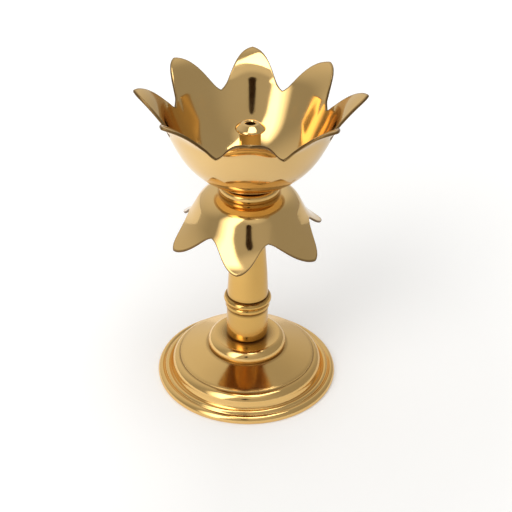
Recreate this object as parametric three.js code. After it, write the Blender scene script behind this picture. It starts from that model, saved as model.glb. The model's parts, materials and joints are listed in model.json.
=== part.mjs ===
// A lotus oil lamp (diya) on a turned stand: brass pieces stacked on one tie rod.
// Units are millimetres, +Z is up, and the origin is the centre of the foot's resting plane.

import * as THREE from 'three';
import { ParametricGeometry } from 'three/addons/geometries/ParametricGeometry.js';

const { degToRad, radToDeg, lerp } = THREE.MathUtils;

// ---- Driving dimensions ----

const HEIGHT = 120;
const FOOT_RADIUS = 35;
const FOOT_WALL = 1.8;
const BOSS_RADIUS = 15.1;
const STEM_RADIUS = 8;

// Levels where one piece of the stack rests on the next, from the floor up.
const FOOT_TOP = 13;
const BOSS_TOP = 17.6;
const RING_BOTTOM = 30.7;
const RING_TOP = 36;
const SKIRT_TOP = 81;
const COLLAR_TOP = 84.3;

// The lotus cup is a sphere that runs into a conical wall, cut and curled outwards into petals.
const CUP = {
  petals: 8,
  turn: 0,
  sheet: 1,
  sphereRadius: 29.55,
  seatFillet: 8,
  seatAngle: 15,
  wallAngle: 63,
  wallTurn: 6,
  tipRadius: 41,
  tipAngle: 14,
  petalLength: 16.3,
  pointed: 0.35,
  wallFlat: 0,
  tipFlat: 3.8,
};

// The skirt is a flat-topped cone whose rim is cut and curled outwards into petals.
const SKIRT = {
  petals: 6,
  turn: -5.5,
  sheet: 0.9,
  shoulderRadius: 7.9,
  flatRadius: 11.9,
  wallAngle: -63,
  wallTurn: 0,
  tipRadius: 30.1,
  tipLevel: 62.6,
  tipAngle: -32,
  petalLength: 11.9,
  pointed: 0.25,
  wallFlat: 0.1,
  tipFlat: 0.4,
};

// The wick holder is the top nut of the stack.
const WICK = {
  top: 108.3,
  headRadius: 5.5,
  headBottom: 105.6,
  neckRadius: 3.9,
  footRadius: 5.2,
  footHeight: 1.6,
  wickHole: 1.9,
};

// The tie rod and what holds it inside the foot.
const ROD = { radius: 2, bottom: 5.2, top: 94 };
const NUT = { flats: 7, height: 3.2 };
const WASHER = { radius: 4.6, height: 0.8 };

const RUNNING_GAP = 0.3;
const LIFT_GAP = 0.05;
const BORE = ROD.radius + RUNNING_GAP;

// ---- Materials: polished outside, duller where the buffing wheel does not reach ----

const POLISHED = { color: 0xd9a441, roughness: 0.12, metalness: 1 };
const TURNED = { color: 0xcf9838, roughness: 0.18, metalness: 1 };
const STEEL = { color: 0xa9a9a4, roughness: 0.35, metalness: 1 };

// ---- Helpers ----

const lamp = new THREE.Group();

function addPart(name, geometry, look) {
  const mesh = new THREE.Mesh(geometry, new THREE.MeshStandardMaterial(look));
  mesh.name = name;
  lamp.add(mesh);
}

// Points on an arc in the (radius, level) plane. Angles are degrees: 0 points outwards, 90 upwards.
function arc(centreRadius, centreLevel, size, from, to, steps) {
  const points = [];
  for (let i = 0; i <= steps; i += 1) {
    const angle = degToRad(lerp(from, to, i / steps));
    const radius = centreRadius + size * Math.cos(angle);
    points.push([radius, centreLevel + size * Math.sin(angle)]);
  }
  return points;
}

// A solid of revolution about Z. The profile goes up the outside and down the inside.
function turned(profile, segments) {
  const loop = [...profile, profile[0]].map(([radius, level]) => new THREE.Vector2(radius, level));
  return new THREE.LatheGeometry(loop, segments).rotateX(Math.PI / 2);
}

// ---- The foot and its boss ----

// A hollow flange: a rolled rim, a groove, a bead, a round step and a shallow cone up to the boss.
function makeFoot() {
  const rimRound = 1.9;
  const rimLevel = 0.9;
  const grooveRadius = 32.4;
  const grooveLevel = 2.4;
  const beadRound = 1.1;
  const stepFootRadius = 29.8;
  const stepRound = 3.2;
  const stepLevel = 5;
  const coneRadius = 26.4;
  const coneLevel = 8.7;
  const mouthRadius = 31.1;
  const hollowRadius = 27.4;
  const outside = [
    [FOOT_RADIUS - 3.6, 0],
    [FOOT_RADIUS - 0.5, 0],
    ...arc(FOOT_RADIUS - rimRound, rimLevel, rimRound, -15, 85, 6),
    [grooveRadius, grooveLevel],
    ...arc((grooveRadius + stepFootRadius) / 2, grooveLevel + 0.1, beadRound, 10, 150, 5),
    [stepFootRadius, grooveLevel + 1],
    ...arc(stepFootRadius - 0.6 - stepRound, stepLevel, stepRound, 5, 75, 5),
    [coneRadius, coneLevel],
    [BOSS_RADIUS + 0.3, FOOT_TOP],
  ];
  const inside = [
    [BORE, FOOT_TOP],
    [BORE, FOOT_TOP - FOOT_WALL],
    [BOSS_RADIUS, FOOT_TOP - FOOT_WALL],
    [hollowRadius - 1.4, coneLevel - 0.3 - FOOT_WALL],
    [hollowRadius, stepLevel - FOOT_WALL],
    [mouthRadius, 1],
  ];
  return turned([...outside, ...inside], 60);
}

function makeBoss() {
  const round = 3.4;
  const chamfer = 0.3;
  const profile = [
    [BORE, FOOT_TOP],
    [BOSS_RADIUS - chamfer, FOOT_TOP],
    [BOSS_RADIUS, FOOT_TOP + chamfer],
    ...arc(BOSS_RADIUS - round, BOSS_TOP - round, round, 0, 90, 6),
    [BORE, BOSS_TOP],
  ];
  return turned(profile, 48);
}

// ---- The stem ----

function makeLowerStem() {
  const round = 1.4;
  const profile = [
    [BORE, BOSS_TOP],
    ...arc(STEM_RADIUS - round, BOSS_TOP + round, round, -90, 0, 5),
    [STEM_RADIUS, RING_BOTTOM],
    [BORE, RING_BOTTOM],
  ];
  return turned(profile, 40);
}

// A bead whose section is one arc standing out from the stem by its bulge.
function makeStemRing() {
  const bulge = 1.1;
  const shoulder = 0.15;
  const half = (RING_TOP - RING_BOTTOM) / 2;
  const size = (half * half + bulge * bulge) / (2 * bulge);
  const reach = radToDeg(Math.asin(half / size));
  const centre = STEM_RADIUS + shoulder + bulge - size;
  const profile = [
    [BORE, RING_BOTTOM],
    ...arc(centre, (RING_TOP + RING_BOTTOM) / 2, size, -reach, reach, 6),
    [BORE, RING_TOP],
  ];
  return turned(profile, 40);
}

// The upper tube narrows quickly just over the ring and then evenly up to the neck.
function makeUpperStem() {
  const neck = 6.4;
  const neckLength = 22;
  const chamfer = 0.5;
  const top = SKIRT_TOP - SKIRT.sheet;
  const profile = [
    [BORE, RING_TOP],
    [STEM_RADIUS - 0.1, RING_TOP],
    [STEM_RADIUS - 0.3, RING_TOP + 4],
    [STEM_RADIUS - 0.6, RING_TOP + 10],
    [neck, top - neckLength],
    [neck, top - chamfer],
    [neck - chamfer, top],
    [BORE, top],
  ];
  return turned(profile, 40);
}

// ---- Sheet pieces: a bent meridian turned about Z, with its rim cut into petals ----

// A meridian starts on the bore and is a chain of runs. Each run has a length, a turn in degrees that
// is positive when it bends upwards, and how flat a petal is across at its end: 0 follows the circle,
// 1 is straight and more than 1 flares the petal's sides. Offset moves a point off the sheet's face,
// to the meridian's left.
function meridianPoint(meridian, distance, offset) {
  let radius = BORE;
  let level = meridian.level;
  let heading = 0;
  let flat = 0;
  let left = distance;
  for (const run of meridian.runs) {
    const step = Math.min(left, run.length);
    const share = step / run.length;
    const turn = degToRad(run.turn) * share;
    const chord = turn === 0 ? step : (2 * Math.sin(turn / 2) * step) / turn;
    radius += chord * Math.cos(heading + turn / 2);
    level += chord * Math.sin(heading + turn / 2);
    heading += turn;
    if (step > 0) flat = lerp(flat, run.flat, share);
    left -= step;
  }
  radius -= offset * Math.sin(heading);
  level += offset * Math.cos(heading);
  return { radius, level, flat };
}

const runsLength = (runs) => runs.reduce((sum, run) => sum + run.length, 0);

function bend(size, turn, flat, rows) {
  return { length: Math.abs(size * degToRad(turn)), turn, flat, rows };
}

// The wall and the curl after it that lead out and up by the given distances. The wall starts at its
// own angle and bends a little by its turn, and the curl brings it round to the tip's angle.
function wallAndCurl(out, up, { wallAngle, wallTurn, tipAngle, wallFlat, tipFlat }) {
  const topAngle = wallAngle + wallTurn;
  const wall = degToRad(wallAngle);
  const top = degToRad(topAngle);
  const tip = degToRad(tipAngle);
  const turn = top - wall;
  const chord = turn === 0 ? 1 : (2 * Math.sin(turn / 2)) / turn;
  const wallOut = chord * Math.cos(wall + turn / 2);
  const wallUp = chord * Math.sin(wall + turn / 2);
  const side = Math.sign(tip - top);
  const curlOut = side * (Math.sin(tip) - Math.sin(top));
  const curlUp = side * (Math.cos(top) - Math.cos(tip));
  const scale = wallOut * curlUp - wallUp * curlOut;
  const length = (out * curlUp - up * curlOut) / scale;
  const curl = (up * wallOut - out * wallUp) / scale;
  return [
    { length, turn: wallTurn, flat: wallFlat },
    bend(curl, tipAngle - topAngle, tipFlat),
  ];
}

// How far along the meridian each row stands. The runs up to the wall have their own rows, and the
// rim rows are spread over the wall and the curl, as far as the rim.
function rowDistances({ runs, rimRows }, rim) {
  const distances = [0];
  let start = 0;
  for (const run of runs.filter(({ rows }) => rows)) {
    for (let row = 1; row <= run.rows; row += 1) {
      distances.push(start + (run.length * row) / run.rows);
    }
    start += run.length;
  }
  for (let row = 1; row <= rimRows; row += 1) {
    distances.push(lerp(start, rim, row / rimRows));
  }
  return distances;
}

// How far up its petal the rim stands: 0 in a notch and 1 at a tip. Across runs from 0 on the petal's
// middle line to 1 in the notch. Pointed blends from a rounded petal, 0, to a straight-sided one, 1.
function petalReach(across, pointed) {
  return lerp(0.5 + 0.5 * Math.cos(Math.PI * across), 1 - across, pointed);
}

// The closed sheet. u runs round the axis from a petal's tip. v runs round the section: out along the
// lower face, over the rim, back along the upper face and down the bore.
function petalSheet(meridian, { petals, turn, petalLength, pointed }, lower, upper, slices) {
  const length = runsLength(meridian.runs);
  const pitch = (2 * Math.PI) / petals;
  const rows = rowDistances(meridian, length).length;
  const surface = (u, v, target) => {
    const angle = 2 * Math.PI * u;
    const fromMiddle = angle - Math.round(angle / pitch) * pitch;
    const reached = petalReach(Math.abs((2 * fromMiddle) / pitch), pointed);
    const rim = length - petalLength * (1 - reached);
    const place = Math.round(v * 2 * rows) % (2 * rows);
    const below = place < rows;
    const distance = rowDistances(meridian, rim)[below ? place : 2 * rows - 1 - place];
    const { radius, level, flat } = meridianPoint(meridian, distance, below ? lower : upper);
    const reach = radius * lerp(1, 1 / Math.cos(fromMiddle), flat);
    const bearing = angle + degToRad(turn - 90);
    target.set(reach * Math.cos(bearing), reach * Math.sin(bearing), level);
  };
  return new ParametricGeometry(surface, slices, 2 * rows);
}

// The flat seat on the collar, a fillet, the sphere, the wall, and the outward curl that brings the
// tips to their radius and to the lamp's full height.
function cupMeridian() {
  const { sphereRadius, seatFillet, seatAngle, wallAngle, tipRadius, tipAngle, sheet } = CUP;
  const seat = degToRad(seatAngle);
  const wall = degToRad(wallAngle);
  const inset = sphereRadius - seatFillet;
  const level = COLLAR_TOP + LIFT_GAP;
  const sphereLevel = level + seatFillet + inset * Math.cos(seat);
  const tipLevel = HEIGHT - sheet * Math.cos(degToRad(tipAngle));
  const out = tipRadius - sphereRadius * Math.sin(wall);
  const up = tipLevel - sphereLevel + sphereRadius * Math.cos(wall);
  return {
    level,
    rimRows: 7,
    runs: [
      { length: inset * Math.sin(seat) - BORE, turn: 0, flat: 0, rows: 1 },
      bend(seatFillet, seatAngle, 0, 1),
      bend(sphereRadius, wallAngle - seatAngle, 0, 5),
      ...wallAndCurl(out, up, CUP),
    ],
  };
}

// The flat top, the round shoulder down to a straight wall, and the outward curl to the tips.
function skirtMeridian() {
  const { shoulderRadius, flatRadius, wallAngle, wallFlat, tipRadius, tipLevel } = SKIRT;
  const wall = degToRad(wallAngle);
  const out = tipRadius - flatRadius + shoulderRadius * Math.sin(wall);
  const up = tipLevel - SKIRT_TOP + shoulderRadius * (1 - Math.cos(wall));
  return {
    level: SKIRT_TOP,
    rimRows: 6,
    runs: [
      { length: flatRadius - BORE, turn: 0, flat: 0, rows: 1 },
      bend(shoulderRadius, wallAngle, wallFlat, 3),
      ...wallAndCurl(out, up, SKIRT),
    ],
  };
}

function makeCup() {
  return petalSheet(cupMeridian(), CUP, 0, CUP.sheet, 80);
}

function makeSkirt() {
  return petalSheet(skirtMeridian(), SKIRT, -SKIRT.sheet, 0, 60);
}

// ---- The collar between skirt and cup ----

function makeCollar() {
  const collarRadius = 11.35;
  const round = 1.2;
  const chamfer = 0.3;
  const profile = [
    [BORE, SKIRT_TOP],
    [collarRadius - chamfer, SKIRT_TOP],
    [collarRadius, SKIRT_TOP + chamfer],
    ...arc(collarRadius - round, COLLAR_TOP - round, round, 0, 90, 4),
    [BORE, COLLAR_TOP],
  ];
  return turned(profile, 40);
}

// ---- The wick holder ----

// A flanged plug with a narrow neck. Its blind bore holds the rod's end, and a smaller hole through
// the domed head holds the wick.
function makeWickHolder() {
  const chamfer = 0.5;
  const bottom = cupMeridian().level + CUP.sheet + LIFT_GAP;
  const { top, headRadius, headBottom, neckRadius, footRadius, footHeight, wickHole } = WICK;
  const web = ROD.top + RUNNING_GAP;
  const profile = [
    [BORE, bottom],
    [footRadius, bottom],
    [footRadius, bottom + footHeight - chamfer],
    [footRadius - chamfer, bottom + footHeight],
    [neckRadius + 0.8, bottom + footHeight],
    [neckRadius, bottom + footHeight + 1.2],
    [neckRadius, headBottom - 0.6],
    [headRadius - chamfer, headBottom],
    [headRadius, headBottom + chamfer],
    [headRadius - 0.2, headBottom + 2 * chamfer],
    [wickHole + 0.9, top - 0.1],
    [wickHole + chamfer, top],
    [wickHole, top - chamfer],
    [wickHole, web + 1.5],
    [BORE, web],
  ];
  return turned(profile, 32);
}

// ---- The tie rod, its washer and its nut ----

function makeRod() {
  const { radius, bottom, top } = ROD;
  const chamfer = 0.5;
  const points = [
    [0, bottom],
    [radius - chamfer, bottom],
    [radius, bottom + chamfer],
    [radius, top - chamfer],
    [radius - chamfer, top],
    [0, top],
  ].map(([r, z]) => new THREE.Vector2(r, z));
  return new THREE.LatheGeometry(points, 24).rotateX(Math.PI / 2);
}

function makeWasher() {
  const top = FOOT_TOP - FOOT_WALL;
  const profile = [
    [BORE, top - WASHER.height],
    [WASHER.radius, top - WASHER.height],
    [WASHER.radius, top],
    [BORE, top],
  ];
  return turned(profile, 32);
}

function makeNut() {
  const cornerRadius = NUT.flats / (2 * Math.cos(Math.PI / 6));
  const corners = [0, 60, 120, 180, 240, 300].map((degrees) => {
    const angle = degToRad(degrees);
    return new THREE.Vector2(cornerRadius * Math.cos(angle), cornerRadius * Math.sin(angle));
  });
  const outline = new THREE.Shape(corners);
  outline.holes.push(new THREE.Path().absarc(0, 0, BORE, 0, 2 * Math.PI, true));
  const options = { depth: NUT.height, bevelEnabled: false, curveSegments: 12 };
  const level = FOOT_TOP - FOOT_WALL - WASHER.height - NUT.height;
  return new THREE.ExtrudeGeometry(outline, options).translate(0, 0, level);
}

// ---- The lamp ----

addPart('base_foot', makeFoot(), POLISHED);
addPart('base_boss', makeBoss(), POLISHED);
addPart('stem_lower', makeLowerStem(), POLISHED);
addPart('stem_ring', makeStemRing(), POLISHED);
addPart('stem_upper', makeUpperStem(), POLISHED);
addPart('petal_skirt', makeSkirt(), POLISHED);
addPart('collar', makeCollar(), TURNED);
addPart('lotus_bowl', makeCup(), POLISHED);
addPart('wick_holder', makeWickHolder(), TURNED);
addPart('tie_rod', makeRod(), STEEL);
addPart('rod_washer', makeWasher(), STEEL);
addPart('rod_nut', makeNut(), STEEL);

export default lamp;
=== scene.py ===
"""A polished brass lotus lamp (diya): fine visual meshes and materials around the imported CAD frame.

Shapes are written in millimetres and turned into metres when a mesh is made.
"""

import json
import math

import bpy
from mathutils import Matrix, Vector, noise

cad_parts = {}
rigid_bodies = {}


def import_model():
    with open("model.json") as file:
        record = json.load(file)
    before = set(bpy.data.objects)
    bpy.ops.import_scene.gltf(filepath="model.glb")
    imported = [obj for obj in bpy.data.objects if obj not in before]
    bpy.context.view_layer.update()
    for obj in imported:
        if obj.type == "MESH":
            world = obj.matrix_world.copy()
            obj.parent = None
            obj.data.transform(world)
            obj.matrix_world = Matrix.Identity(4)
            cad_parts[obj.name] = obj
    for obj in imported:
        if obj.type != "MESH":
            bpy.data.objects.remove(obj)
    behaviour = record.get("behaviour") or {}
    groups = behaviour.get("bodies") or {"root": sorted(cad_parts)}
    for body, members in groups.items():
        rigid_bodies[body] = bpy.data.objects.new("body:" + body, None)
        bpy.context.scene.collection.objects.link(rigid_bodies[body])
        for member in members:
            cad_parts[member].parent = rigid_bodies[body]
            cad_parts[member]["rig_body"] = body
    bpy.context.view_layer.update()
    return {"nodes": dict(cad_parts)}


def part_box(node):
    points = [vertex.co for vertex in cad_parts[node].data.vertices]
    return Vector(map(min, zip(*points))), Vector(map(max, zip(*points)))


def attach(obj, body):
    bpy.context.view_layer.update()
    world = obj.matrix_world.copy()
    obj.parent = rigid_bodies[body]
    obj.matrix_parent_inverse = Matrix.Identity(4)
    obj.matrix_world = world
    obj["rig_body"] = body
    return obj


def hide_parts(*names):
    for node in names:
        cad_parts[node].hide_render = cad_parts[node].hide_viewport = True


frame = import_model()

MM = 0.001


# ---- Sizes, taken from the frame where the frame has them ----


def measured(node):
    """(lowest level, highest level, largest radius) of a CAD node, in millimetres."""
    low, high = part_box(node)
    return low.z / MM, high.z / MM, high.x / MM


_, FOOT_TOP, FOOT_RADIUS = measured("base_foot")
_, BOSS_TOP, BOSS_RADIUS = measured("base_boss")
_, RING_LOW, STEM_RADIUS = measured("stem_lower")
_, RING_TOP, RING_RADIUS = measured("stem_ring")
_, STEM_TOP, UPPER_RADIUS = measured("stem_upper")
_, SKIRT_TOP, _ = measured("petal_skirt")
_, COLLAR_TOP, COLLAR_RADIUS = measured("collar")
CUP_LOW, CUP_TOP, CUP_TIP_RADIUS = measured("lotus_bowl")
WICK_LOW, WICK_TOP, WICK_RADIUS = measured("wick_holder")
ROD_LOW, ROD_TOP, ROD_RADIUS = measured("tie_rod")
WASHER_LOW, WASHER_TOP, WASHER_RADIUS = measured("rod_washer")
NUT_LOW, NUT_TOP, NUT_CORNER = measured("rod_nut")

BORE = ROD_RADIUS + 0.3
FOOT_WALL = 1.8
RING_SPLIT = 33.0
WICK_HEAD_LOW = 105.6


# ---- Outlines of turned pieces ----


def turned_back(vector, angle):
    """A flat vector turned by an angle, counter-clockwise."""
    cosine, sine = math.cos(angle), math.sin(angle)
    return (vector[0] * cosine - vector[1] * sine, vector[0] * sine + vector[1] * cosine)


def rounded(corners, arc_step=15.0):
    """A closed outline of (radius, level, round) corners, each of them turned into an arc of that size."""
    outline = []
    count = len(corners)
    for i, (x, y, size) in enumerate(corners):
        before = corners[i - 1]
        after = corners[(i + 1) % count]
        back = Vector((before[0] - x, before[1] - y))
        ahead = Vector((after[0] - x, after[1] - y))
        room = 0.48 * min(back.length, ahead.length)
        back.normalize()
        ahead.normalize()
        half = math.acos(max(-1.0, min(1.0, back.dot(ahead)))) / 2
        if size <= 0 or half > math.radians(88):
            outline.append((x, y))
            continue
        tangent = min(size / math.tan(half), room)
        radius = tangent * math.tan(half)
        middle = (back + ahead).normalized() * (radius / math.sin(half))
        arm = back * tangent - middle
        sweep = math.pi - 2 * half
        if back.x * ahead.y - back.y * ahead.x > 0:
            sweep = -sweep
        steps = max(2, math.ceil(abs(math.degrees(sweep)) / arc_step))
        for k in range(steps + 1):
            dx, dy = turned_back(arm, sweep * k / steps)
            outline.append((x + middle.x + dx, y + middle.y + dy))
    return outline


def arc(centre_radius, centre_level, size, start, end, steps):
    """Points on an arc, as corners that need no rounding. Degrees: 0 points outwards, 90 upwards."""
    points = []
    for i in range(steps + 1):
        angle = math.radians(start + (end - start) * i / steps)
        points.append((centre_radius + size * math.cos(angle), centre_level + size * math.sin(angle), 0))
    return points


def subdivided(outline, longest):
    """The closed outline with its long stretches cut up, so that waves and wear have points to move."""
    fine = []
    for i, (x, y) in enumerate(outline):
        nx, ny = outline[(i + 1) % len(outline)]
        pieces = max(1, math.ceil(math.hypot(nx - x, ny - y) / longest))
        fine += [(x + (nx - x) * k / pieces, y + (ny - y) * k / pieces) for k in range(pieces)]
    return fine


# ---- Mesh making ----


def grid_faces(rows, columns):
    """Quads of a grid that closes on itself both ways. Its normals point out of the section."""
    faces = []
    for row in range(rows):
        above = (row + 1) % rows
        for column in range(columns):
            beside = (column + 1) % columns
            corners = ((row, column), (row, beside), (above, beside), (above, column))
            faces.append(tuple(r * columns + c for r, c in corners))
    return faces


def lathe_points(outline, segments):
    """The outline turned about Z, row by row."""
    points = []
    for radius, level in outline:
        for k in range(segments):
            angle = 2 * math.pi * k / segments
            points.append((radius * math.cos(angle), radius * math.sin(angle), level))
    return points


def wavy(points, size, length):
    """The points moved a little inwards by smooth noise, as on spun and hand-buffed metal."""
    moved = []
    for x, y, z in points:
        radius = math.hypot(x, y)
        shift = size * (noise.noise(Vector((x, y, z)) / length) - 1)
        scale = 1 + shift / max(radius, 1.0)
        moved.append((x * scale, y * scale, z))
    return moved


def add_piece(name, node, slot, material, points, faces, sharp=40, **marks):
    """The piece that stands for a CAD node and rides on its body. Marks are named numbers, one per point."""
    mesh = bpy.data.meshes.new(name)
    mesh.from_pydata([(x * MM, y * MM, z * MM) for x, y, z in points], [], faces)
    mesh.validate()
    for mark, values in marks.items():
        layer = mesh.attributes.new(mark, "FLOAT", "POINT")
        layer.data.foreach_set("value", values)
    for polygon in mesh.polygons:
        polygon.use_smooth = True
    mesh.set_sharp_from_angle(angle=math.radians(sharp))
    mesh.materials.append(material)
    piece = bpy.data.objects.new(name, mesh)
    bpy.context.scene.collection.objects.link(piece)
    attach(piece, frame["nodes"][node]["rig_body"])
    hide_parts(node)
    return piece


def nearness(points, seams, reach):
    """How near each point is to the nearest (radius, level) seam: 1 on it, fading out over the reach."""
    values = []
    for x, y, z in points:
        radius = math.hypot(x, y)
        distance = min(math.hypot(radius - r, z - level) for r, level in seams)
        values.append(math.exp(-((distance / reach) ** 2)))
    return values


# Where pieces meet, as (radius, level), and how far the darkening spreads there: old polish collects in these
# seams, and shade is painted into them.
SEAM_REACH = 0.45
SEAMS = [
    (BOSS_RADIUS, FOOT_TOP),
    (STEM_RADIUS - 1.4, BOSS_TOP),
    (STEM_RADIUS, RING_LOW),
    (UPPER_RADIUS, RING_TOP),
    (COLLAR_RADIUS - 1.0, SKIRT_TOP),
    (COLLAR_RADIUS - 2.0, COLLAR_TOP),
]

# No stretch of a turned outline is longer than this between two rows of points.
LONGEST_STEP = 1.2


def add_turned(name, node, slot, material, corners, segments, raw=None, oil_and_shade_ring=None, wave=0.02, arc_step=15.0):
    """A turned piece from its corners. raw says, for a point, how unpolished the metal is there. The ring
    of old oil and painted shade is given as its radius, its level and how far it spreads."""
    outline = subdivided(rounded(corners, arc_step), LONGEST_STEP)
    points = lathe_points(outline, segments)
    faces = grid_faces(len(outline), segments)
    rough = [raw(math.hypot(x, y), z) if raw else 0.0 for x, y, z in points]
    # Seams darken: partly old polish, partly painted shade.
    crevice = nearness(points, SEAMS, SEAM_REACH)
    if oil_and_shade_ring:
        crevice = [max(pair) for pair in zip(crevice, nearness(points, [oil_and_shade_ring[:2]], oil_and_shade_ring[2]))]
    return add_piece(name, node, slot, material, wavy(points, wave, 9.0), faces, crevice=crevice, raw=rough)


# ---- Sheet pieces with petals ----

# Angles are degrees and levels and lengths millimetres. Petal 0 faces the viewer and they count
# counter-clockwise from above. Notch k is between petals k and k + 1. The petals are bent by hand, so a few
# differ by (length added, sideways lean in degrees, rise of the tip), and a few notches stand a bit sideways.
CUP = {
    "petals": 8,
    "turn": 0.0,
    "sheet": 1.0,
    "sphere": 29.55,
    "fillet": 8.0,
    "seat_angle": 15.0,
    "wall_angle": 63.0,
    "wall_turn": 6.0,
    "tip_angle": 14.0,
    "petal_length": 16.3,
    "pointed": 0.35,
    "wall_flat": 0.0,
    "tip_flat": 3.8,
    "crease": 2.5,
    "odd_petals": {0: (-0.6, 0.6, 0.0), 3: (0.0, 0.0, -0.4)},
    "odd_notches": {0: 0.4, 7: 0.3},
}
SKIRT = {
    "petals": 6,
    "turn": -5.5,
    "sheet": 0.9,
    "shoulder": 7.9,
    "flat_radius": 11.9,
    "wall_angle": -63.0,
    "wall_turn": 0.0,
    "tip_radius": 30.1,
    "tip_level": 62.6,
    "tip_angle": -32.0,
    "petal_length": 11.9,
    "pointed": 0.25,
    "wall_flat": 0.1,
    "tip_flat": 0.4,
    "crease": 2.0,
    "odd_petals": {0: (-0.6, -2.0, 0.0)},
    "odd_notches": {0: -5.5, 5: -1.0},
}


def meridian_point(level, runs, distance, offset):
    """The point at a distance along a chain of (length, turn, flat) runs that starts on the bore: its
    radius, level and heading, and how flat a petal is across there. Offset moves it off the sheet's face."""
    radius, heading, flat = BORE, 0.0, 0.0
    left = distance
    for length, turn, flat_end in runs:
        step = min(left, length)
        share = step / length
        bend = math.radians(turn) * share
        chord = 2 * math.sin(bend / 2) * step / bend if bend else step
        radius += chord * math.cos(heading + bend / 2)
        level += chord * math.sin(heading + bend / 2)
        heading += bend
        flat += (flat_end - flat) * share
        left -= step
        if left <= 0:
            break
    return radius - offset * math.sin(heading), level + offset * math.cos(heading), heading, flat


def bend_run(size, turn, flat):
    return (abs(size * math.radians(turn)), turn, flat)


def wall_and_curl(out, up, spec):
    """The wall and the curl after it that lead out and up. The wall starts at its own angle and bends a
    little by its turn, and the curl brings it round to the tip's angle."""
    top_angle = spec["wall_angle"] + spec["wall_turn"]
    wall, top, tip = (math.radians(angle) for angle in (spec["wall_angle"], top_angle, spec["tip_angle"]))
    turn = top - wall
    chord = 2 * math.sin(turn / 2) / turn if turn else 1.0
    wall_out = chord * math.cos(wall + turn / 2)
    wall_up = chord * math.sin(wall + turn / 2)
    side = math.copysign(1, tip - top)
    curl_out = side * (math.sin(tip) - math.sin(top))
    curl_up = side * (math.cos(top) - math.cos(tip))
    scale = wall_out * curl_up - wall_up * curl_out
    length = (out * curl_up - up * curl_out) / scale
    curl = (up * wall_out - out * wall_up) / scale
    return [
        (length, spec["wall_turn"], spec["wall_flat"]),
        bend_run(curl, spec["tip_angle"] - top_angle, spec["tip_flat"]),
    ]


def petal_reach(across, pointed):
    """How far up its petal the rim stands: 0 in a notch, 1 at a tip. Pointed blends from a rounded petal to
    a straight-sided one."""
    return pointed * (1 - across) + (1 - pointed) * (0.5 + 0.5 * math.cos(math.pi * across))


def soft_secant(angle, limit, softness):
    """1 / cos(angle), but levelling off just before the limit, so that the crease there is round."""
    start = limit - softness
    if abs(angle) <= start:
        return 1 / math.cos(angle)
    past = abs(angle) - start
    slope = math.sin(start) / math.cos(start) ** 2
    return 1 / math.cos(start) + slope * (past - past * past / (2 * softness))


def petal_columns(spec, slices, rim_end):
    """For each slice round the axis: its angle, its angle from its petal's middle, the length of its
    meridian, how sideways it shifts at the rim, and how far its petal rises."""
    petals = spec["petals"]
    pitch = 2 * math.pi / petals
    columns = []
    for k in range(slices):
        angle = 2 * math.pi * k / slices
        petal = round(angle / pitch)
        from_middle = angle - petal * pitch
        across = abs(2 * from_middle / pitch)
        longer, lean, rise = spec["odd_petals"].get(petal % petals, (0.0, 0.0, 0.0))
        notch = spec["odd_notches"].get((petal if from_middle > 0 else petal - 1) % petals, 0.0)
        reach = petal_reach(across, spec["pointed"])
        rim = rim_end - spec["petal_length"] * (1 - reach) + longer * reach
        blend = across * across * (3 - 2 * across)
        shift = math.radians(lean + (notch - lean) * blend)
        columns.append((angle, from_middle, rim, shift, rise))
    return columns


RIM_ROUND = 0.3
RIM_STEPS = 6
CUT_EDGE = 0.25


def section_rows(runs, rows, lower, upper):
    """The rows of a closed sheet section: out along the lower face, round the rim and back along the upper
    face. Each is (distance, or None where it follows the rim; share of the way to the rim; offset; how far it
    stands out round the rim). rows has a number for each run before the wall, and one for all after it."""
    section = []
    start = 0.0
    for (length, _, _), count in zip(runs, rows[:-1]):
        section += [(start + length * i / count, 0.0) for i in range(count)]
        start += length
    section += [(None, i / rows[-1]) for i in range(rows[-1] + 1)]
    around = []
    for i in range(1, RIM_STEPS):
        turn = math.pi * i / RIM_STEPS
        around.append((None, 1.0, lower + (upper - lower) * (1 - math.cos(turn)) / 2, math.sin(turn)))
    below = [(distance, share, lower, 0.0) for distance, share in section]
    above = [(distance, share, upper, 0.0) for distance, share in reversed(section)]
    return below + around + above, start


def petal_sheet(spec, level, runs, lower, upper, slices, rows):
    """Points, faces and how much of a cut edge each point is, of a closed sheet with petals."""
    total = sum(run[0] for run in runs)
    petal_length = spec["petal_length"]
    columns = petal_columns(spec, slices, total - RIM_ROUND)
    section, wall_start = section_rows(runs, rows, lower, upper)
    limit = math.pi / spec["petals"]
    crease = math.radians(spec["crease"])
    points, edge = [], []
    for fixed, share, offset, ahead in section:
        for angle, from_middle, rim, shift, rise in columns:
            distance = wall_start + (rim - wall_start) * share if fixed is None else fixed
            radius, z, heading, flat = meridian_point(level, runs, distance, offset)
            radius += ahead * RIM_ROUND * math.cos(heading)
            z += ahead * RIM_ROUND * math.sin(heading)
            radius *= 1 + flat * (soft_secant(from_middle, limit, crease) - 1)
            out = max(0.0, (distance - total + petal_length) / petal_length)
            along = min(1.0, max(0.0, (distance - wall_start) / (total - petal_length - wall_start)))
            bearing = angle + math.radians(spec["turn"] - 90) + shift * along
            points.append((radius * math.cos(bearing), radius * math.sin(bearing), z + rise * out * out))
            edge.append(1.0 if ahead else max(0.0, 1 - (rim - distance) / CUT_EDGE) * 0.6)
    return points, grid_faces(len(section), slices), edge


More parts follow.
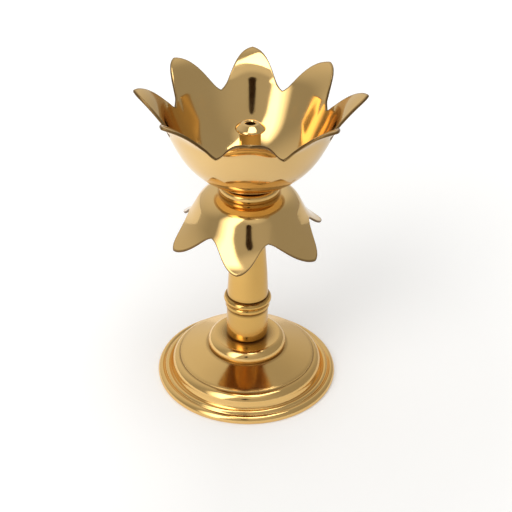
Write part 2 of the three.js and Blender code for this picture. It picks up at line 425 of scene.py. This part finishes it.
def cup_runs():
    sphere, fillet = CUP["sphere"], CUP["fillet"]
    seat, wall = math.radians(CUP["seat_angle"]), math.radians(CUP["wall_angle"])
    inset = sphere - fillet
    centre = CUP_LOW + fillet + inset * math.cos(seat)
    tip_level = CUP_TOP - CUP["sheet"] * math.cos(math.radians(CUP["tip_angle"]))
    out = CUP_TIP_RADIUS - sphere * math.sin(wall)
    up = tip_level - centre + sphere * math.cos(wall)
    return [
        (inset * math.sin(seat) - BORE, 0.0, 0.0),
        bend_run(fillet, CUP["seat_angle"], 0.0),
        bend_run(sphere, CUP["wall_angle"] - CUP["seat_angle"], 0.0),
        *wall_and_curl(out, up, CUP),
    ]


def skirt_runs():
    shoulder = SKIRT["shoulder"]
    wall = math.radians(SKIRT["wall_angle"])
    out = SKIRT["tip_radius"] - SKIRT["flat_radius"] + shoulder * math.sin(wall)
    up = SKIRT["tip_level"] - SKIRT_TOP + shoulder * (1 - math.cos(wall))
    return [
        (SKIRT["flat_radius"] - BORE, 0.0, 0.0),
        bend_run(shoulder, SKIRT["wall_angle"], SKIRT["wall_flat"]),
        *wall_and_curl(out, up, SKIRT),
    ]


def add_sheet(name, node, material, sheet, raw_below):
    """A petal sheet as a piece. The first half of its points is its lower face: raw_below says how
    unpolished it is."""
    points, faces, edge = sheet
    # Seams darken: partly old polish, partly painted shade.
    crevice = nearness(points, SEAMS, SEAM_REACH)
    raw = [raw_below if i < len(points) // 2 else 0.0 for i in range(len(points))]
    marks = {"edge": edge, "crevice": crevice, "raw": raw}
    add_piece(name, node, "polished_brass", material, wavy(points, 0.03, 11.0), faces, sharp=50, **marks)


def make_cup(material):
    sheet = petal_sheet(CUP, CUP_LOW, cup_runs(), 0.0, CUP["sheet"], 384, (3, 5, 26, 26))
    add_sheet("cup_sheet", "lotus_bowl", material, sheet, 0.0)


def make_skirt(material):
    sheet = petal_sheet(SKIRT, SKIRT_TOP, skirt_runs(), -SKIRT["sheet"], 0.0, 360, (6, 12, 26))
    add_sheet("skirt_sheet", "petal_skirt", material, sheet, 0.55)


# ---- Turned pieces ----


def make_foot(material):
    """The foot shell: a flange, a small bead, a large bead and a shallow cone, hollow underneath."""
    roof = FOOT_TOP - FOOT_WALL
    corners = [
        (FOOT_RADIUS - 3.6, 0, 0.2),
        (FOOT_RADIUS - 0.6, 0, 0.3),
        *arc(FOOT_RADIUS - 1.9, 0.9, 1.9, -20, 88, 14),
        (32.5, 2.3, 0.15),
        *arc(31.1, 2.5, 1.1, 10, 150, 12),
        (29.8, 3.35, 0.1),
        *arc(26.0, 5.0, 3.2, 2, 84, 14),
        (26.15, 8.75, 0.12),
        (BOSS_RADIUS + 0.3, FOOT_TOP, 0.1),
        (BORE, FOOT_TOP, 0.1),
        (BORE, roof, 0.2),
        (BOSS_RADIUS, roof, 4.0),
        (26.0, 6.6, 2.0),
        (27.4, 3.2, 2.0),
        (FOOT_RADIUS - 3.9, 1.0, 0.4),
    ]

    def raw(radius, level):
        """Unpolished on the inside: the mouth of the hollow, its wall, and its sloping roof."""
        mouth_level, wall_level, wall_radius, roof_slope = 1.2, 7.2, 27.6, 0.42
        if level < mouth_level:
            return float(radius < FOOT_RADIUS - 3.4)
        if level < wall_level:
            return float(radius < wall_radius)
        return float(level < roof + 0.3 - max(0.0, radius - BOSS_RADIUS) * roof_slope)

    # A dark ring of painted shade in the groove at the cone's edge.
    oil_and_shade_ring = (26.3, 8.3, 0.4)
    add_turned("foot_shell", "base_foot", "polished_brass", material, corners, 192, raw=raw, oil_and_shade_ring=oil_and_shade_ring)


def make_boss(material):
    """The thick disc on the foot, with oil grime and painted shade round the stem."""
    corners = [
        (BORE, FOOT_TOP, 0.1),
        (BOSS_RADIUS - 0.25, FOOT_TOP, 0.15),
        (BOSS_RADIUS, FOOT_TOP + 1.0, 0.3),
        *arc(BOSS_RADIUS - 3.4, BOSS_TOP - 3.4, 3.4, 4, 76, 12),
        (BOSS_RADIUS - 2.4, BOSS_TOP, 0.5),
        (BORE, BOSS_TOP, 0.1),
    ]
    # Painted shade and old oil round the foot of the stem.
    oil_and_shade_ring = (STEM_RADIUS - 1.0, BOSS_TOP, 3.4)
    add_turned("boss_disc", "base_boss", "polished_brass", material, corners, 128, oil_and_shade_ring=oil_and_shade_ring, wave=0.015)


def make_lower_stem(material):
    corners = [
        (BORE, BOSS_TOP, 0.1),
        *arc(STEM_RADIUS - 1.4, BOSS_TOP + 1.4, 1.4, -90, 0, 10),
        (STEM_RADIUS, RING_LOW, 0.15),
        (BORE, RING_LOW, 0.1),
    ]
    add_turned("lower_tube", "stem_lower", "polished_brass", material, corners, 112)


def make_ring(material):
    """Two beads in one ring: a low wide one up to the split, and a bolder one over it."""
    corners = [
        (BORE, RING_LOW, 0.1),
        (STEM_RADIUS + 0.1, RING_LOW, 0.1),
        (STEM_RADIUS + 0.55, RING_LOW + 0.8, 0.6),
        (STEM_RADIUS + 0.5, RING_SPLIT - 0.5, 0.5),
        (STEM_RADIUS + 0.15, RING_SPLIT - 0.05, 0.12),
        (STEM_RADIUS + 0.75, RING_SPLIT + 0.35, 0.4),
        (RING_RADIUS, RING_SPLIT + 1.5, 1.1),
        (STEM_RADIUS + 0.7, RING_TOP - 0.4, 0.5),
        (STEM_RADIUS, RING_TOP, 0.15),
        (BORE, RING_TOP, 0.1),
    ]
    add_turned("stem_bead", "stem_ring", "polished_brass", material, corners, 112, wave=0.01)


def make_upper_stem(material):
    neck = 6.4
    corners = [
        (BORE, RING_TOP, 0.1),
        (UPPER_RADIUS - 0.25, RING_TOP, 0.1),
        (UPPER_RADIUS, RING_TOP + 0.5, 0.3),
        (UPPER_RADIUS - 0.2, RING_TOP + 4, 6.0),
        (UPPER_RADIUS - 0.5, RING_TOP + 10, 12.0),
        (neck, STEM_TOP - 22, 20.0),
        (neck, STEM_TOP - 0.4, 0.2),
        (neck - 0.5, STEM_TOP, 0.2),
        (BORE, STEM_TOP, 0.1),
    ]
    add_turned("upper_tube", "stem_upper", "polished_brass", material, corners, 112, wave=0.025)


def make_collar(material):
    corners = [
        (BORE, SKIRT_TOP, 0.1),
        (COLLAR_RADIUS - 0.25, SKIRT_TOP, 0.15),
        (COLLAR_RADIUS - 0.1, SKIRT_TOP + 0.5, 0.3),
        (COLLAR_RADIUS, (SKIRT_TOP + COLLAR_TOP) / 2, 3.0),
        *arc(COLLAR_RADIUS - 1.3, COLLAR_TOP - 1.2, 1.2, 10, 90, 10),
        (BORE, COLLAR_TOP, 0.1),
    ]
    add_turned("collar_ring", "collar", "turned_brass", material, corners, 128, wave=0.01)


def make_wick_holder(material):
    """A flanged plug with a narrow neck and a wider head. The rod ends in its blind bore, below the web, and
    the wick stands in the hole above it."""
    neck, flange, hole = 3.9, 5.2, 1.75
    web = ROD_TOP + 0.3
    corners = [
        (BORE, WICK_LOW, 0.1),
        (flange, WICK_LOW, 0.2),
        (flange, WICK_LOW + 1.6, 0.4),
        (neck + 0.9, WICK_LOW + 1.6, 0.3),
        (neck, WICK_LOW + 3.0, 0.9),
        (neck, WICK_HEAD_LOW - 0.5, 0.5),
        (WICK_RADIUS - 0.3, WICK_HEAD_LOW, 0.3),
        (WICK_RADIUS, WICK_HEAD_LOW + 0.5, 0.3),
        (WICK_RADIUS - 0.4, WICK_HEAD_LOW + 1.1, 0.5),
        (hole + 1.3, WICK_TOP - 0.15, 1.2),
        (hole + 0.4, WICK_TOP, 0.25),
        (hole, WICK_TOP - 0.5, 0.3),
        (hole, web + 1.5, 0.2),
        (BORE, web, 0.2),
    ]

    def raw(radius, level):
        """Unpolished inside the hole."""
        return float(radius < hole + 0.1 and level < WICK_TOP - 0.8)

    add_turned("wick_plug", "wick_holder", "turned_brass", material, corners, 96, raw, wave=0.008, arc_step=12)


# ---- The rod with its screw thread, and what it holds inside the foot ----

THREAD_PITCH = 0.7
THREAD_DEPTH = 0.4


def thread_radius(radius, angle, level, strength):
    """A metric thread's outline on a rod: flat crest, sloping flanks, round root."""
    phase = (level / THREAD_PITCH - angle / (2 * math.pi)) % 1.0
    from_crest = abs(2 * phase - 1)
    flank = min(1.0, max(0.0, (from_crest - 0.12) / 0.7))
    return radius - strength * THREAD_DEPTH * flank


def make_rod(material):
    """The tie rod: a plain shank with a chamfered thread at both ends."""
    segments = 40
    thread_low = ROD_LOW + 11
    thread_high = ROD_TOP - 12
    shank = thread_high - thread_low
    shank_steps = 12
    fine = THREAD_PITCH / 8
    levels = [ROD_LOW + fine * i for i in range(int((thread_low - ROD_LOW) / fine) + 1)]
    levels += [thread_low + shank * i / shank_steps for i in range(1, shank_steps)]
    levels += [thread_high + fine * i for i in range(int((ROD_TOP - thread_high) / fine) + 1)]
    levels[-1] = ROD_TOP
    chamfer = 0.5
    points = [(0, 0, ROD_LOW)]
    for level in levels:
        end = min(level - ROD_LOW, ROD_TOP - level)
        plain = min(max(0.0, level - thread_low + 1), max(0.0, thread_high + 1 - level))
        strength = max(0.0, 1 - plain)
        for k in range(segments):
            angle = 2 * math.pi * k / segments
            radius = thread_radius(ROD_RADIUS, angle, level, strength)
            radius = min(radius, ROD_RADIUS - chamfer + end)
            points.append((radius * math.cos(angle), radius * math.sin(angle), level))
    points.append((0, 0, ROD_TOP))
    faces = []
    for row in range(len(levels) - 1):
        low, high = 1 + row * segments, 1 + (row + 1) * segments
        for k in range(segments):
            beside = (k + 1) % segments
            faces.append((low + k, low + beside, high + beside, high + k))
    last = 1 + (len(levels) - 1) * segments
    for k in range(segments):
        beside = (k + 1) % segments
        faces.append((0, 1 + beside, 1 + k))
        faces.append((last + k, last + beside, len(points) - 1))
    add_piece("threaded_rod", "tie_rod", "plated_steel", material, points, faces, sharp=60)


def make_washer(material):
    corners = [
        (BORE, WASHER_LOW, 0.08),
        (WASHER_RADIUS, WASHER_LOW, 0.2),
        (WASHER_RADIUS, WASHER_TOP, 0.1),
        (BORE, WASHER_TOP, 0.05),
    ]
    add_turned("flat_washer", "rod_washer", "plated_steel", material, corners, 80, wave=0.01)


def make_nut(material):
    """Six flats whose corners are cut back by a cone at both ends, with a threaded bore."""
    segments = 120
    flats = NUT_CORNER * math.cos(math.pi / 6)
    height = NUT_TOP - NUT_LOW
    bevel = math.tan(math.radians(30))
    washer_face = flats * 0.93
    outside = [0.0, 0.08, 0.2, 0.35, 0.5, 0.65, 0.8, 0.92, 1.0]
    rows = [(0.0, True), *[(up, False) for up in outside], (1.0, True)]
    bore_rows = 32
    points = []
    for up, on_end in rows:
        for k in range(segments):
            angle = 2 * math.pi * k / segments
            side = (angle + math.pi / 6) % (math.pi / 3) - math.pi / 6
            hexagon = flats / math.cos(abs(side) - math.pi / 6)
            cone = flats * 0.985 + min(up, 1 - up) * height / bevel
            radius = washer_face if on_end else min(hexagon, cone)
            points.append((radius * math.cos(angle), radius * math.sin(angle), NUT_LOW + up * height))
    mouth = BORE + 0.25
    for up in [1.0, *[1 - (i + 0.5) / bore_rows for i in range(bore_rows)], 0.0]:
        for k in range(segments):
            angle = 2 * math.pi * k / segments
            level = NUT_LOW + up * height
            inside = thread_radius(ROD_RADIUS + 0.32, angle, level, 0.6) if 0 < up < 1 else mouth
            points.append((inside * math.cos(angle), inside * math.sin(angle), level))
    faces = grid_faces(len(rows) + bore_rows + 2, segments)
    add_piece("hex_nut", "rod_nut", "plated_steel", material, points, faces, sharp=25)


# ---- Materials ----


class Nodes:
    """Small helpers around the node tree of a new material, or of the world."""

    def __init__(self, name, world=None):
        self.material = world or bpy.data.materials.new(name)
        self.material.use_nodes = True
        self.tree = self.material.node_tree
        self.shader = self.tree.nodes["Background" if world else "Principled BSDF"]

    def feed(self, socket, value):
        """Links the value if it comes out of a node, and sets it on the socket if it is a constant."""
        if isinstance(value, bpy.types.NodeSocket):
            self.tree.links.new(value, socket)
        else:
            socket.default_value = value

    def add(self, kind, inputs=None, **settings):
        node = self.tree.nodes.new(kind)
        for key, value in settings.items():
            setattr(node, key, value)
        for key, value in (inputs or {}).items():
            self.feed(node.inputs[key], value)
        return node

    def math(self, operation, a, b=0.0, c=0.0):
        return self.add("ShaderNodeMath", {0: a, 1: b, 2: c}, operation=operation).outputs[0]

    def mix(self, share, a, b):
        return self.add("ShaderNodeMix", {0: share, 6: a, 7: b}, data_type="RGBA").outputs[2]

    def noise(self, vector, scale, detail=2.0, roughness=0.5):
        inputs = {"Vector": vector, "Scale": scale, "Detail": detail, "Roughness": roughness}
        return self.add("ShaderNodeTexNoise", inputs).outputs["Fac"]

    def ramp(self, value, low, high):
        inputs = {"Value": value, "From Min": low, "From Max": high, "To Min": 0.0, "To Max": 1.0}
        return self.add("ShaderNodeMapRange", inputs).outputs["Result"]

    def place(self):
        """Where a point is, in metres from the middle of the foot."""
        return self.add("ShaderNodeTexCoord").outputs["Object"]

    def round_axis(self, angle, share, radius, level):
        """A place in turned coordinates. The smaller the share of the angle, the longer noise is drawn out
        round the axis."""
        drawn_out = self.math("MULTIPLY", angle, share)
        return self.add("ShaderNodeCombineXYZ", {0: drawn_out, 1: radius, 2: level}).outputs[0]

    def attribute(self, name):
        return self.add("ShaderNodeAttribute", attribute_name=name).outputs["Fac"]

    def bump(self, height, strength, distance, **normal):
        inputs = {"Strength": strength, "Distance": distance, "Height": height, **normal}
        return self.add("ShaderNodeBump", inputs).outputs["Normal"]

    def set(self, name, value):
        self.feed(self.shader.inputs[name], value)


# Old oil in the seams. The same dark colour paints the shade there.
OLD_OIL_AND_SHADE = (0.10, 0.045, 0.012, 1)
DARK_EDGE = (0.10, 0.05, 0.015, 1)
PIT_DEPTH = 2e-5


def brass(name, colour, deep, roughness, ring_height, scratch_height):
    """Polished brass: a slow drift in colour, lathe rings, buffing scratches, seams darkened by old polish and
    painted shade, and dark cut edges.
    """
    nodes = Nodes(name)
    place = nodes.place()
    x, y, z = nodes.add("ShaderNodeSeparateXYZ", {0: place}).outputs
    squares = nodes.math("ADD", nodes.math("MULTIPLY", x, x), nodes.math("MULTIPLY", y, y))
    radius = nodes.math("SQRT", squares)
    angle = nodes.math("ARCTAN2", y, x)
    crevice = nodes.attribute("crevice")
    edge = nodes.attribute("edge")
    raw = nodes.attribute("raw")

    drift = nodes.ramp(nodes.noise(place, 55.0, 3.0), 0.35, 0.65)
    tone = nodes.mix(nodes.math("MULTIPLY", drift, 0.35), (*colour, 1), (*deep, 1))
    unpolished = (deep[0] * 0.62, deep[1] * 0.60, deep[2] * 0.62, 1)
    dull = nodes.mix(raw, tone, unpolished)
    # Seams darken towards old oil: partly real grime, partly painted shade.
    seamed = nodes.mix(nodes.math("MULTIPLY", crevice, 0.75), dull, OLD_OIL_AND_SHADE)
    cut = nodes.mix(nodes.math("MULTIPLY", edge, 0.85), seamed, DARK_EDGE)
    nodes.set("Base Color", cut)
    nodes.set("Metallic", 1.0)

    smear = nodes.ramp(nodes.noise(place, 140.0, 4.0, 0.6), 0.45, 0.75)
    base = nodes.math("MULTIPLY_ADD", smear, 0.05, roughness)
    worn = nodes.math("MULTIPLY_ADD", raw, 0.30, base)
    seam = nodes.math("MULTIPLY_ADD", crevice, 0.30, worn)
    nodes.set("Roughness", nodes.math("MULTIPLY_ADD", edge, 0.25, seam))

    rings = nodes.noise(nodes.round_axis(angle, 0.0004, radius, z), 2600.0, 3.0, 0.6)
    ring_bump = nodes.bump(rings, 1.0, ring_height)
    streaks = nodes.noise(nodes.round_axis(angle, 0.02, radius, z), 700.0, 5.0, 0.7)
    streak_bump = nodes.bump(streaks, 1.0, scratch_height, Normal=ring_bump)
    pits = nodes.add("ShaderNodeTexVoronoi", {"Vector": place, "Scale": 260.0}).outputs["Distance"]
    nodes.set("Normal", nodes.bump(nodes.ramp(pits, 0.0, 0.09), 0.35, PIT_DEPTH, Normal=streak_bump))
    return nodes.material


def plated_steel():
    """Zinc plate: grey with a faint yellow drift and a fine grain."""
    nodes = Nodes("plated_steel_mat")
    place = nodes.place()
    drift = nodes.noise(place, 300.0, 3.0)
    nodes.set("Base Color", nodes.mix(drift, (0.50, 0.50, 0.47, 1), (0.66, 0.63, 0.55, 1)))
    nodes.set("Metallic", 1.0)
    grain = nodes.noise(place, 2500.0, 2.0)
    nodes.set("Roughness", nodes.math("MULTIPLY_ADD", grain, 0.18, 0.24))
    nodes.set("Normal", nodes.bump(grain, 0.4, PIT_DEPTH))
    return nodes.material


# ---- Studio: floor, surroundings, lights and camera ----

# Angles are degrees and lengths metres, but the lens and the sensor are millimetres.
VIEW_ELEVATION = 32.5
VIEW_DISTANCE = 0.4522
VIEW_TARGET = (0.0029, 0.0, 0.0528)
VIEW_ROLL = 1.2
VIEW_LENS = 84.6
SENSOR = 36.0
MIDDLE = Vector((0, 0, 0.06))


def direction(azimuth, elevation):
    """The unit vector that points from the lamp to a place round it. Azimuth 0 is the viewer's side."""
    a, e = math.radians(azimuth), math.radians(elevation)
    return Vector((math.sin(a) * math.cos(e), -math.cos(a) * math.cos(e), math.sin(e)))


def make_camera():
    camera = bpy.data.objects.new("camera", bpy.data.cameras.new("camera"))
    camera.data.lens = VIEW_LENS
    camera.data.sensor_width = SENSOR
    camera.data.clip_start = 0.01
    back = direction(0, VIEW_ELEVATION)
    camera.location = Vector(VIEW_TARGET) + back * VIEW_DISTANCE
    camera.rotation_mode = "QUATERNION"
    roll = Matrix.Rotation(math.radians(VIEW_ROLL), 4, "Z").to_quaternion()
    camera.rotation_quaternion = (-back).to_track_quat("-Z", "Y") @ roll
    bpy.context.scene.collection.objects.link(camera)
    bpy.context.scene.camera = camera


def matt_nodes(name, colour):
    nodes = Nodes(name)
    nodes.set("Base Color", (*colour, 1))
    nodes.set("Roughness", 1.0)
    nodes.set("Specular IOR Level", 0.0)
    return nodes


def floor_material():
    """White card. As the lamp mirrors it, it glows more on the window's side. As the camera sees it, it is
    even near the lamp and runs into white far away."""
    nodes = matt_nodes("floor_mat", (0.82, 0.82, 0.82))
    place = nodes.place()
    x = nodes.add("ShaderNodeSeparateXYZ", {0: place}).outputs["X"]
    away = nodes.add("ShaderNodeVectorMath", {0: place}, operation="LENGTH").outputs["Value"]
    seen = nodes.add("ShaderNodeLightPath").outputs["Is Camera Ray"]
    glow = nodes.math("MULTIPLY_ADD", nodes.ramp(x, 0.075, -0.075), 0.30, 0.04)
    seen_glow = nodes.math("MULTIPLY_ADD", nodes.ramp(away, 0.10, 0.60), 0.42, 0.20)
    nodes.set("Emission Color", (1, 1, 1, 1))
    nodes.set("Emission Strength", nodes.math("MAXIMUM", glow, nodes.math("MULTIPLY", seen_glow, seen)))
    return nodes.material


def make_floor():
    mesh = bpy.data.meshes.new("floor")
    half = 4.0
    corners = [(-half, -half, 0), (half, -half, 0), (half, half, 0), (-half, half, 0)]
    mesh.from_pydata(corners, [], [(0, 1, 2, 3)])
    mesh.materials.append(floor_material())
    floor = bpy.data.objects.new("floor", mesh)
    floor.location.z = -0.0001
    bpy.context.scene.collection.objects.link(floor)


def make_top_light():
    """A softbox over the lamp. Its power is worked out from the brightness of its face."""
    distance, width, height, radiance = 0.70, 0.40, 0.34, 3.0
    light = bpy.data.lights.new("top_softbox", "AREA")
    light.shape = "RECTANGLE"
    light.size = width
    light.size_y = height
    light.energy = radiance * math.pi * width * height
    softbox = bpy.data.objects.new("top_softbox", light)
    away = direction(60, 81)
    softbox.location = MIDDLE + away * distance
    softbox.rotation_mode = "QUATERNION"
    softbox.rotation_quaternion = (-away).to_track_quat("-Z", "Y")
    softbox.visible_camera = False
    bpy.context.scene.collection.objects.link(softbox)


# The dark stand that the polished metal mirrors: (elevation, half width in metres).
STAND_DISTANCE = 0.50
STAND_OUTLINE = [
    (17, 0.010),
    (19.5, 0.026),
    (22, 0.038),
    (27, 0.042),
    (32, 0.036),
    (35, 0.024),
    (37, 0.010),
]


def make_camera_stand():
    side = direction(90, 0)
    points = []
    for elevation, half in STAND_OUTLINE:
        middle = MIDDLE + direction(-1, elevation) * STAND_DISTANCE
        points += [middle - side * half, middle + side * half]
    faces = [(i, i + 1, i + 3, i + 2) for i in range(0, len(points) - 2, 2)]
    mesh = bpy.data.meshes.new("studio_camera")
    mesh.from_pydata([tuple(p) for p in points], [], faces)
    mesh.materials.append(matt_nodes("studio_camera_mat", (0.03, 0.015, 0.008)).material)
    stand = bpy.data.objects.new("studio_camera", mesh)
    stand.visible_camera = False
    stand.visible_shadow = False
    stand.visible_diffuse = False
    bpy.context.scene.collection.objects.link(stand)


# The pale tent round the lamp: its brightness, and patches that are brighter than that, as
# (azimuth, elevation, degrees to where it starts to fade, degrees to where it has faded, brightness added).
TENT = 0.40
PATCHES = [
    (0, 20, 10, 60, 0.12),
    (-150, 30, 20, 65, 0.28),
    (180, 25, 10, 60, 0.10),
    (10, 63, 6, 26, 0.30),
]


def tent_patch(nodes, place, azimuth, elevation, inner, outer, added):
    """A round patch of the tent that is brighter and fades out towards its edge."""
    middle = direction(azimuth, elevation)
    facing = nodes.add("ShaderNodeVectorMath", {0: place, 1: middle}, operation="DOT_PRODUCT")
    inputs = {
        "Value": facing.outputs["Value"],
        "From Min": math.cos(math.radians(outer)),
        "From Max": math.cos(math.radians(inner)),
        "To Max": added,
    }
    return nodes.add("ShaderNodeMapRange", inputs, interpolation_type="SMOOTHSTEP").outputs["Result"]


def window(nodes, place):
    """A tall window to the viewer's left that widens upwards: sharp on its right, soft on its left."""
    middle, half, sharp, soft = (math.radians(angle) for angle in (-35, -1, 5, 21))
    bottom, bottom_full, top_full, top = (math.radians(angle) for angle in (-6, 6, 60, 70))
    spread, brightness = 0.26, 2.8
    x, y, z = nodes.add("ShaderNodeSeparateXYZ", {0: place}).outputs
    azimuth = nodes.math("ARCTAN2", x, nodes.math("MULTIPLY", y, -1.0))
    elevation = nodes.math("ARCSINE", z)
    wide = nodes.math("MULTIPLY_ADD", elevation, spread, half)
    right = nodes.math("SUBTRACT", nodes.math("ADD", wide, middle), azimuth)
    left = nodes.math("SUBTRACT", nodes.math("ADD", azimuth, wide), middle)
    total = nodes.math("MULTIPLY", nodes.ramp(right, -sharp, 0.0), brightness)
    total = nodes.math("MULTIPLY", nodes.ramp(left, -soft, 0.0), total)
    total = nodes.math("MULTIPLY", nodes.ramp(elevation, bottom, bottom_full), total)
    return nodes.math("MULTIPLY", nodes.ramp(elevation, top, top_full), total)


def make_surroundings():
    """The tent and its window light the lamp. The camera itself sees white behind the floor."""
    world = bpy.data.worlds.new("tent")
    bpy.context.scene.world = world
    nodes = Nodes("tent", world)
    place = nodes.add("ShaderNodeTexCoord").outputs["Generated"]
    total = nodes.math("ADD", window(nodes, place), TENT)
    for patch in PATCHES:
        total = nodes.math("ADD", total, tent_patch(nodes, place, *patch))
    seen = nodes.add("ShaderNodeLightPath").outputs["Is Camera Ray"]
    nodes.set("Strength", nodes.math("MAXIMUM", total, seen))
    nodes.set("Color", (1, 0.985, 0.955, 1))


def make_studio():
    make_surroundings()
    make_floor()
    make_top_light()
    make_camera_stand()
    bpy.context.scene.view_settings.view_transform = "Standard"


# ---- The lamp ----


def make_lamp():
    polished = brass("polished_brass_mat", (0.77, 0.52, 0.215), (0.73, 0.47, 0.18), 0.08, 1.2e-6, 2.5e-6)
    machined = brass("turned_brass_mat", (0.74, 0.47, 0.17), (0.68, 0.40, 0.12), 0.11, 2.2e-6, 3.0e-6)
    handled = brass("handled_brass_mat", (0.70, 0.43, 0.13), (0.64, 0.37, 0.10), 0.13, 2.0e-6, 3.0e-6)
    cast = brass("foot_brass_mat", (0.84, 0.55, 0.21), (0.76, 0.47, 0.16), 0.11, 2.2e-6, 3.4e-6)
    steel = plated_steel()
    make_foot(cast)
    make_boss(cast)
    make_lower_stem(handled)
    make_ring(handled)
    make_upper_stem(handled)
    make_skirt(polished)
    make_collar(machined)
    make_cup(polished)
    make_wick_holder(polished)
    make_rod(steel)
    make_washer(steel)
    make_nut(steel)


make_camera()
make_lamp()
make_studio()
